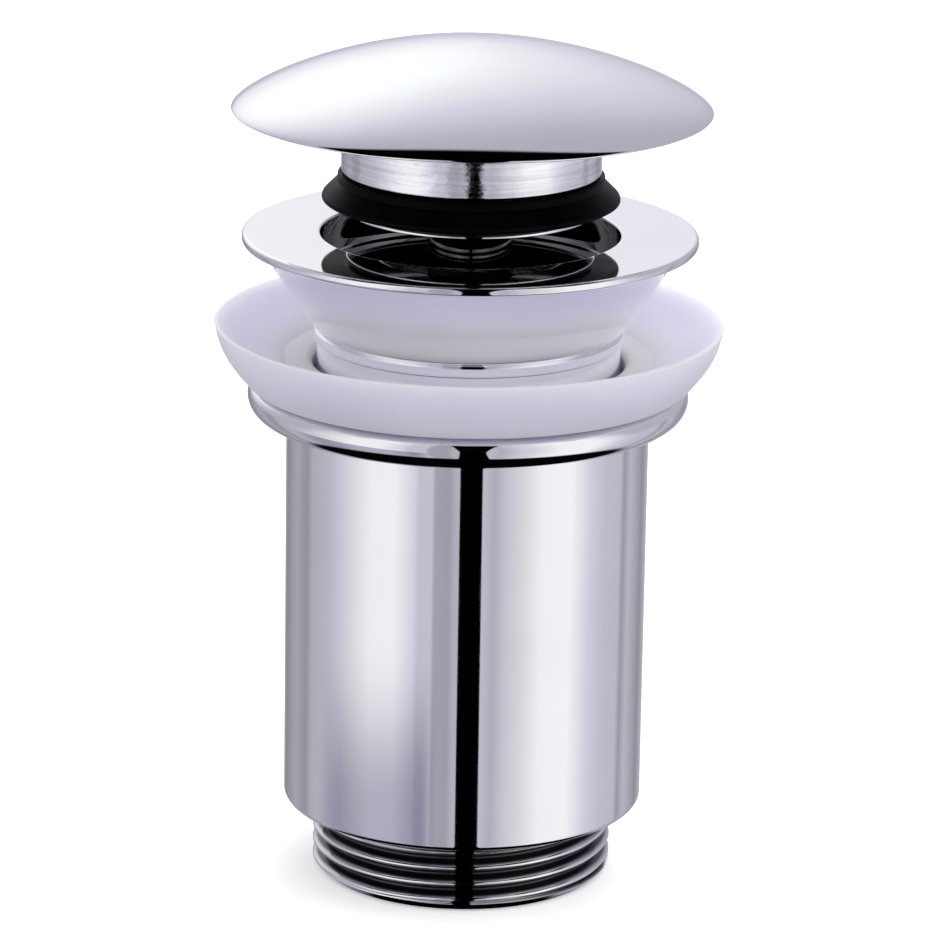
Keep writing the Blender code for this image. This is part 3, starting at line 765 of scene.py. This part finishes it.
def make_cartridge_tube(material):
    """Plated tube, its foot, and the threaded stud that goes through the hub."""
    stud_end = bottom("cartridge_tube")
    foot = stud_end + STUD_LENGTH
    floor = foot + TUBE_FLOOR
    tube_top = top("cartridge_tube")
    bore = TUBE_RADIUS - TUBE_WALL
    outline = [(0.0, floor)]
    outline += eased(
        [
            (0.0, floor),
            (bore, floor, 0.3),
            (bore, tube_top, 0.15),
            (TUBE_RADIUS, tube_top, 0.25),
            (TUBE_RADIUS, floor, 0.1),
            (reach("cartridge_tube"), floor - FOOT_STEP, 0.2),
            (reach("cartridge_tube"), foot, 0.3),
            (STUD_RADIUS, foot, 0.1),
            (STUD_RADIUS, foot - STUD_RUN_IN),
        ],
        closed=False,
    )[1:]
    thread_top = foot - STUD_RUN_IN - STUD_SEAM
    thread_foot = stud_end + STUD_CHAMFER
    outline += ladder(STUD_RADIUS, thread_top, thread_foot, STUD_PITCH / RINGS_PER_PITCH)
    outline += [(STUD_RADIUS - STUD_CHAMFER, stud_end), (0.0, stud_end)]
    piece = turn_piece("cartridge_case", outline, SMALL_STEPS)
    cut_thread(
        piece, STUD_RADIUS, thread_foot, thread_top, STUD_PITCH, STUD_THREAD_DEPTH, STUD_LEAD
    )
    settle(piece, "flange", ["cartridge_tube"], material)


SPRING_TURNS = 7
SPRING_WIRE = 0.4
SPRING_FACETS = 12
COIL_STEPS = 40


def make_spring(material):
    """Coil spring: a ring of wire swept up the axis."""
    low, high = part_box("return_spring")
    mean_radius = high[0] / MM - SPRING_WIRE
    rise = (high[2] - low[2]) / MM - 2 * SPRING_WIRE
    clear_selection()
    bpy.ops.mesh.primitive_circle_add(
        vertices=SPRING_FACETS,
        radius=SPRING_WIRE * MM,
        location=(mean_radius * MM, 0.0, low[2] + SPRING_WIRE * MM),
        rotation=(math.radians(90.0), 0.0, 0.0),
    )
    piece = bpy.context.object
    piece.name = "spring_coil"
    bpy.ops.object.transform_apply(location=True, rotation=True, scale=True)
    coil = piece.modifiers.new("coil", "SCREW")
    coil.angle = 2 * math.pi * SPRING_TURNS
    coil.screw_offset = rise * MM
    coil.iterations = 1
    coil.steps = SPRING_TURNS * COIL_STEPS
    coil.render_steps = SPRING_TURNS * COIL_STEPS
    coil.use_smooth_shade = True
    bpy.ops.object.modifier_apply(modifier="coil")
    bpy.ops.object.mode_set(mode="EDIT")
    bpy.ops.mesh.select_all(action="DESELECT")
    bpy.ops.mesh.select_non_manifold()
    bpy.ops.mesh.edge_face_add()
    bpy.ops.mesh.select_all(action="SELECT")
    bpy.ops.mesh.normals_make_consistent(inside=False)
    bpy.ops.object.mode_set(mode="OBJECT")
    bpy.ops.object.shade_smooth_by_angle(angle=math.radians(40.0))
    settle(piece, "flange", ["return_spring"], material)
    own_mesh(piece)


# Washer, ring and sleeve

WIRE_STEPS = 16

# Washer: its foot, its dish and the edges of its rim
WASHER_FOOT = 30.57
WASHER_FLOOR_RADIUS = 25.5
WASHER_DISH_DEPTH = 5.1
WASHER_BELLY = 0.95
WASHER_BORE_ROUND = 1.1
WASHER_STEPS = 16
RIM_CHAMFER = 0.15
RIM_LAND = 0.5

# Sleeve: the socket for the tail, the wall, the collar and the outlet
COUNTERBORE = 21.605
COUNTERBORE_DEPTH = 10.95
SOCKET_BORE = 21.255
SOCKET_THREAD_DEPTH = 25.65
SLEEVE_RADIUS = 25.13
SLEEVE_WALL = 2.2
SLEEVE_CORNER = 1.0
SLEEVE_LENGTH = 60.3
SLEEVE_SEAM = 3.0
COLLAR_HEIGHT = 4.5
COLLAR_BROW = 1.8
BROW_STEPS = 10
COLLAR_ROUND = 2.7
UNDER_STEPS = 12
OUTLET_BORE = 17.5
OUTLET_CHAMFER = 1.1
OUTLET_LEAD = 0.25
RELIEF_DEPTH = 1.1
RELIEF_HEIGHT = 0.9
THREAD_RUN_IN = 0.66


def make_washer(material):
    """Tapered washer with a bellied side, a dished top and a pocket round the tail."""
    low = bottom("basin_washer")
    high = top("basin_washer")
    outer = reach("basin_washer")
    foot = WASHER_FOOT
    side = []
    for step in range(1, WASHER_STEPS):
        share = step / WASHER_STEPS
        swell = WASHER_BELLY * math.sin(math.pi * share)
        side.append((foot + (outer - foot) * share + swell, low + (high - low) * share))
    corners = [(COUNTERBORE, low, 0.2), (foot, low, 0.5)]
    corners += side
    corners += [
        (outer, high - RIM_CHAMFER),
        (outer - RIM_CHAMFER, high),
        (outer - RIM_LAND, high, 0.15),
        (WASHER_FLOOR_RADIUS, high - WASHER_DISH_DEPTH, 0.6),
        (COUNTERBORE, high - WASHER_DISH_DEPTH, WASHER_BORE_ROUND),
    ]
    settle(turn_piece("washer", eased(corners)), "tail", ["basin_washer"], material)


def make_sealing_ring(material):
    low = bottom("tail_sealing_ring")
    high = top("tail_sealing_ring")
    wire = (high - low) / 2
    middle = (reach("tail_sealing_ring") - wire, (high + low) / 2)
    outline = arc(middle, wire, 0.0, 360.0, WIRE_STEPS)[:-1]
    piece = turn_piece("sealing_ring", outline, SMALL_STEPS)
    settle(piece, "sealing_ring", ["tail_sealing_ring"], material)


def make_sleeve(material):
    """Wide sleeve with its collar, rounded foot and threaded outlet."""
    collar_top = top("tail_sleeve")
    collar_radius = reach("tail_sleeve")
    collar_bottom = collar_top - COLLAR_HEIGHT
    sleeve_bottom = collar_top - SLEEVE_LENGTH
    outlet_end = bottom("tail_sleeve")
    relief_bottom = sleeve_bottom - RELIEF_HEIGHT
    bore = SLEEVE_RADIUS - SLEEVE_WALL
    thread_start = relief_bottom - THREAD_RUN_IN
    thread_stop = outlet_end + OUTLET_CHAMFER
    socket_bottom = collar_top - SOCKET_THREAD_DEPTH
    brow_middle = (collar_radius - COLLAR_BROW, collar_top - COLLAR_BROW)
    brow = arc(brow_middle, COLLAR_BROW, 90.0, 0.0, BROW_STEPS)
    under_middle = (collar_radius - COLLAR_ROUND, collar_bottom + COLLAR_ROUND)
    under = arc(under_middle, COLLAR_ROUND, 0.0, -90.0, UNDER_STEPS)[1:]
    shell = eased(
        [
            (COUNTERBORE, collar_top - SLEEVE_SEAM),
            (COUNTERBORE, collar_top, 0.3),
            *brow,
            *under,
            (SLEEVE_RADIUS, collar_bottom, 0.3),
            (SLEEVE_RADIUS, sleeve_bottom, SLEEVE_CORNER),
            (THREAD_RADIUS - RELIEF_DEPTH, sleeve_bottom, 0.2),
            (THREAD_RADIUS - RELIEF_DEPTH, relief_bottom, 0.2),
            (THREAD_RADIUS, thread_start),
        ],
        closed=False,
    )[1:-1]
    thread = ladder(THREAD_RADIUS, thread_start, thread_stop, THREAD_PITCH / RINGS_PER_PITCH)
    inside = eased(
        [
            (THREAD_RADIUS, thread_stop),
            (THREAD_RADIUS - OUTLET_CHAMFER, outlet_end, 0.2),
            (OUTLET_BORE, outlet_end, 0.3),
            (OUTLET_BORE, sleeve_bottom + SLEEVE_WALL, 0.5),
            (bore, sleeve_bottom + SLEEVE_WALL, 0.6),
            (bore, socket_bottom - (bore - SOCKET_BORE), 0.3),
            (SOCKET_BORE, socket_bottom, 0.2),
            (SOCKET_BORE, collar_top - COUNTERBORE_DEPTH, 0.1),
            (COUNTERBORE, collar_top - COUNTERBORE_DEPTH + COUNTERBORE - SOCKET_BORE, 0.1),
            (COUNTERBORE, collar_top - SLEEVE_SEAM),
        ],
        closed=False,
    )[1:]
    piece = turn_piece("sleeve", shell + thread + inside)
    cut_thread(
        piece, THREAD_RADIUS, thread_stop, thread_start, THREAD_PITCH, THREAD_DEPTH, OUTLET_LEAD
    )
    settle(piece, "tail", ["tail_sleeve"], material)


def dress(node, material):
    """Gives a node that is shown as it is its own finish."""
    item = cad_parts[node]
    item.data.materials.clear()
    item.data.materials.append(material)


# Studio

# Levels are screen levels from 0 to 255, as chrome mirrors them. The brightest are cool white
# and the rest have a little lavender.
CHROME_REFLECTANCE = 0.85
SCREEN_GAMMA = 2.2
COOL_LEVEL = 215
COOL_WHITE = (0.97, 0.99, 1.02)
LAVENDER = (0.985, 0.965, 1.12)

# Light round the waste as its walls mirror it: (degrees from the camera, to the right plus, level)
WALL_LIGHT = (
    (-180.0, 190),
    (-160.0, 130),
    (-136.0, 162),
    (-127.0, 150),
    (-121.0, 146),
    (-115.0, 170),
    (-96.0, 182),
    (-84.0, 202),
    (-76.0, 216),
    (-62.0, 238),
    (-46.0, 240),
    (-32.0, 208),
    (-30.0, 192),
    (-21.0, 192),
    (-19.5, 160),
    (-10.0, 156),
    (-6.5, 176),
    (11.5, 188),
    (18.0, 172),
    (26.0, 196),
    (38.0, 216),
    (50.0, 240),
    (70.0, 243),
    (86.0, 206),
    (100.0, 188),
    (115.0, 184),
    (120.0, 150),
    (128.0, 180),
    (150.0, 140),
    (180.0, 190),
)

# The dark screen round the camera, as sideways parts of a direction, and how it widens upwards
SCREEN_EDGES = (-0.065, 0.17)
SCREEN_FLARE = 0.06

# The dark slot overhead between the front and back lights, as shares of the upward part
SLOT_EDGES = (-0.42, 0.2)
SLOT_LEVEL = 0.7
SLOT_BLUR = 0.04

# Mirrors looking down past this line see the dark table under the studio
GROUND_LINE = -0.72
GROUND_BLUR = 0.04
GROUND_LEVEL = 12

# Heights, and parts of a direction to the back, over which the walls give way to the sky
HORIZON_BLEND = (-0.12, 0.1)
BEHIND_BLEND = (-0.15, 0.15)

# The light that all but mirrors see
PLAIN_LIGHT = (1.0, 1.0, 1.02)

# Soft boxes are this wide and point this high above the floor, in metres
SOFT_BOX_SIZE = 0.9
AIM_HEIGHT = 0.06

FLOOR_SIZE = 30.0
FLOOR_TONES = ((0.93, 0.93, 0.935), (0.95, 0.95, 0.955))

# Added to the floor as the camera sees it, so that it is as white as the photograph's
FLOOR_LIFT = 0.3

# Light overhead, along the direction from the dark side to the bright one
SKY_DIRECTION = (-0.245, 0.852, 0.463)
SKY_LIGHT = (
    (0.0, 174),
    (0.68, 174),
    (0.75, 178),
    (0.8, 185),
    (0.85, 198),
    (0.9, 214),
    (0.95, 236),
    (1.0, 262),
)

# The left wall gets darker towards its foot: how far down, left and ahead it starts and ends
FADE_LEVELS = (0.316, 0.345)
FADE_LEFT = (0.25, 0.42)
FADE_AHEAD = (-0.35, 0.1)
FADED_TONE = (0.49, 0.47, 0.56)


def grey(level, tint=(1.0, 1.0, 1.0)):
    """A level as a linear colour, with a tint."""
    linear = (level / 255.0) ** SCREEN_GAMMA / CHROME_REFLECTANCE
    return (linear * tint[0], linear * tint[1], linear * tint[2], 1.0)


def light_ramp(nodes, links, value, stops):
    """A ramp from level to level, with 32 stops at most."""
    ramp = nodes.new("ShaderNodeValToRGB")
    elements = ramp.color_ramp.elements
    for number, (position, level) in enumerate(stops):
        element = elements[number] if number < 2 else elements.new(position)
        element.position = position
        element.color = grey(level, COOL_WHITE if level > COOL_LEVEL else LAVENDER)
    links.new(value, ramp.inputs["Fac"])
    return ramp.outputs["Color"]


def fade_left_wall(nodes, links, axes, walls):
    """Darkens the left wall towards its foot."""
    left, ahead, down = (product(nodes, links, axis, -1.0) for axis in axes)
    low = step_between(nodes, links, down, *FADE_LEVELS, soft=True)
    leftward = step_between(nodes, links, left, *FADE_LEFT, soft=True)
    forward = step_between(nodes, links, ahead, *FADE_AHEAD, soft=True)
    faded = product(nodes, links, low, leftward, forward)
    kept = mix_colours(nodes, links, faded, (1.0, 1.0, 1.0), FADED_TONE)
    panels = nodes.new("ShaderNodeVectorMath")
    panels.operation = "MULTIPLY"
    links.new(walls, panels.inputs[0])
    links.new(kept, panels.inputs[1])
    return panels.outputs["Vector"]


def camera_screen(nodes, links, axes):
    """1 on the dark screen round the camera and 0 beside it."""
    x, y, z = axes
    flare = product(nodes, links, add_math(nodes, links, "MAXIMUM", z, 0.0), SCREEN_FLARE)
    left_edge = add_math(nodes, links, "SUBTRACT", SCREEN_EDGES[0], flare)
    right_edge = add_math(nodes, links, "ADD", SCREEN_EDGES[1], flare)
    right_of_left = add_math(nodes, links, "GREATER_THAN", x, left_edge)
    left_of_right = add_math(nodes, links, "LESS_THAN", x, right_edge)
    in_front = add_math(nodes, links, "LESS_THAN", y, 0.0)
    return product(nodes, links, right_of_left, left_of_right, in_front)


def overhead_slot(nodes, links, axes):
    """1 on the dark slot overhead and 0 beside it, with soft edges."""
    y, z = axes[1:]
    blur = (-SLOT_BLUR, SLOT_BLUR)
    behind_front = add_math(nodes, links, "SUBTRACT", y, product(nodes, links, z, SLOT_EDGES[0]))
    before_back = add_math(nodes, links, "SUBTRACT", product(nodes, links, z, SLOT_EDGES[1]), y)
    above = add_math(nodes, links, "SUBTRACT", z, SLOT_LEVEL)
    edges = (behind_front, before_back, above)
    return product(
        nodes, links, *(step_between(nodes, links, edge, *blur, soft=True) for edge in edges)
    )


def light_studio():
    """Plain white light on everything, and for mirrors the pale walls, soft boxes and narrow
    dark screen of a product studio."""
    world = bpy.data.worlds.new("studio")
    bpy.context.scene.world = world
    world.use_nodes = True
    nodes = world.node_tree.nodes
    links = world.node_tree.links
    background = nodes["Background"]
    place = nodes.new("ShaderNodeTexCoord")
    split = nodes.new("ShaderNodeSeparateXYZ")
    links.new(place.outputs["Generated"], split.inputs["Vector"])
    axes = [split.outputs[axis] for axis in "XYZ"]
    x, y, z = axes

    toward_camera = product(nodes, links, y, -1.0)
    bearing = add_math(nodes, links, "ARCTAN2", x, toward_camera)
    turn = add_math(nodes, links, "DIVIDE", bearing, 2 * math.pi)
    round_share = add_math(nodes, links, "ADD", turn, 0.5)
    wall_stops = [(degrees / 360.0 + 0.5, level) for degrees, level in WALL_LIGHT]
    walls = light_ramp(nodes, links, round_share, wall_stops)
    panels = fade_left_wall(nodes, links, axes, walls)

    sky_value = nodes.new("ShaderNodeVectorMath")
    sky_value.operation = "DOT_PRODUCT"
    sky_value.inputs[1].default_value = SKY_DIRECTION
    links.new(place.outputs["Generated"], sky_value.inputs[0])
    sky = light_ramp(nodes, links, sky_value.outputs["Value"], SKY_LIGHT)
    height = step_between(nodes, links, z, *HORIZON_BLEND, soft=True)
    behind = step_between(nodes, links, y, *BEHIND_BLEND, soft=True)
    sky_share = product(nodes, links, height, behind)
    around = mix_colours(nodes, links, sky_share, panels, sky)

    above_ground = step_between(
        nodes, links, z, GROUND_LINE - GROUND_BLUR, GROUND_LINE + GROUND_BLUR, soft=True
    )
    standing = mix_colours(nodes, links, above_ground, grey(GROUND_LEVEL)[:3], around)
    screen = camera_screen(nodes, links, axes)
    dark = add_math(nodes, links, "MAXIMUM", screen, overhead_slot(nodes, links, axes))
    mirrored = mix_colours(nodes, links, dark, standing, (0.0, 0.0, 0.0))
    rays = nodes.new("ShaderNodeLightPath")
    seen = mix_colours(nodes, links, rays.outputs["Is Glossy Ray"], PLAIN_LIGHT, mirrored)
    links.new(seen, background.inputs["Color"])
    background.inputs["Strength"].default_value = 1.0


def add_soft_box(name, location, power):
    """A large soft lamp that mirrors don't show, aimed at the waste's middle."""
    lamp_data = bpy.data.lights.new(name, "AREA")
    lamp_data.shape = "RECTANGLE"
    lamp_data.size = SOFT_BOX_SIZE
    lamp_data.size_y = SOFT_BOX_SIZE
    lamp_data.energy = power
    lamp = bpy.data.objects.new(name, lamp_data)
    bpy.context.scene.collection.objects.link(lamp)
    lamp.location = location
    aim = Vector((0.0, 0.0, AIM_HEIGHT)) - Vector(location)
    lamp.rotation_euler = aim.to_track_quat("-Z", "Y").to_euler()
    lamp.visible_glossy = False


def add_floor():
    clear_selection()
    bpy.ops.mesh.primitive_plane_add(size=FLOOR_SIZE, location=(0.0, 0.0, 0.0))
    floor = bpy.context.object
    floor.name = "floor"
    material, nodes, links, shader = new_material("pale_floor")
    speck = add_noise(nodes, links, 3.0)
    two_tones(nodes, links, shader, speck, *FLOOR_TONES)
    shader.inputs["Roughness"].default_value = 0.9
    shader.inputs["Specular IOR Level"].default_value = 0.0
    rays = nodes.new("ShaderNodeLightPath")
    lift = product(nodes, links, rays.outputs["Is Camera Ray"], FLOOR_LIFT)
    links.new(lift, shader.inputs["Emission Strength"])
    shader.inputs["Emission Color"].default_value = (1.0, 1.0, 1.0, 1.0)
    floor.data.materials.append(material)
    floor.visible_glossy = False


def add_camera():
    """Stands where the photograph was taken from and looks a little below the flange."""
    camera_data = bpy.data.cameras.new("camera")
    camera_data.lens = FOCAL_PIXELS * SENSOR_WIDTH / FRAME_WIDTH
    camera_data.sensor_width = SENSOR_WIDTH
    camera_data.clip_start = 0.01
    camera_data.clip_end = 100.0
    camera = bpy.data.objects.new("camera", camera_data)
    bpy.context.scene.collection.objects.link(camera)
    bpy.context.scene.camera = camera
    elevation = math.radians(CAMERA_ELEVATION)
    pitch = math.radians(CAMERA_PITCH)
    yaw = math.radians(CAMERA_YAW)
    roll = math.radians(CAMERA_ROLL)
    ahead = Vector((math.sin(yaw) * math.cos(pitch), math.cos(yaw) * math.cos(pitch), -math.sin(pitch)))
    level_right = Vector((math.cos(yaw), -math.sin(yaw), 0.0))
    level_up = level_right.cross(ahead)
    right = level_right * math.cos(roll) + level_up * math.sin(roll)
    up = level_up * math.cos(roll) - level_right * math.sin(roll)
    place = Vector(
        (
            0.0,
            -CAMERA_DISTANCE * math.cos(elevation) * MM,
            flange_plane + CAMERA_DISTANCE * math.sin(elevation) * MM,
        )
    )
    turn = Matrix((right, up, -ahead)).transposed()
    camera.matrix_world = Matrix.Translation(place) @ turn.to_4x4()


def main():
    add_camera()
    add_floor()
    light_studio()
    add_soft_box("key_light", (1.0, -0.4, 1.1), 4.0)
    add_soft_box("back_light", (0.2, 1.1, 1.0), 5.0)
    bpy.context.scene.view_settings.view_transform = "Standard"

    chrome = chrome_plate("chrome_plate")
    # Chrome with painted shade in its bore and thread grooves, for the body, spider and sleeve
    chrome_with_bore_shade = chrome_plate("chrome_plate_bore_shade", bored=True)
    lathe_metal = turned_metal()
    brass = plain_brass()
    steel = drawn_steel()
    rubber = black_rubber()
    milky = milky_rubber()
    nylon = moulded_nylon()

    make_dome(chrome)
    make_neck(lathe_metal)
    make_seal(rubber)
    make_seal_ring(chrome)
    make_waste_body(chrome_with_bore_shade)
    make_spider(chrome_with_bore_shade)
    make_cartridge_tube(chrome)
    make_spring(steel)
    make_washer(milky)
    make_sealing_ring(rubber)
    make_sleeve(chrome_with_bore_shade)

    dress("gland_cap", brass)
    dress("lock_nut", brass)
    dress("plunger_rod", brass)
    for node in ("split_lock_washer", "rod_clip", "cam_pin_left", "cam_pin_right"):
        dress(node, steel)
    for node in ("guide_bush", "thrust_washer", "spring_washer", "cam_drum"):
        dress(node, nylon)


main()
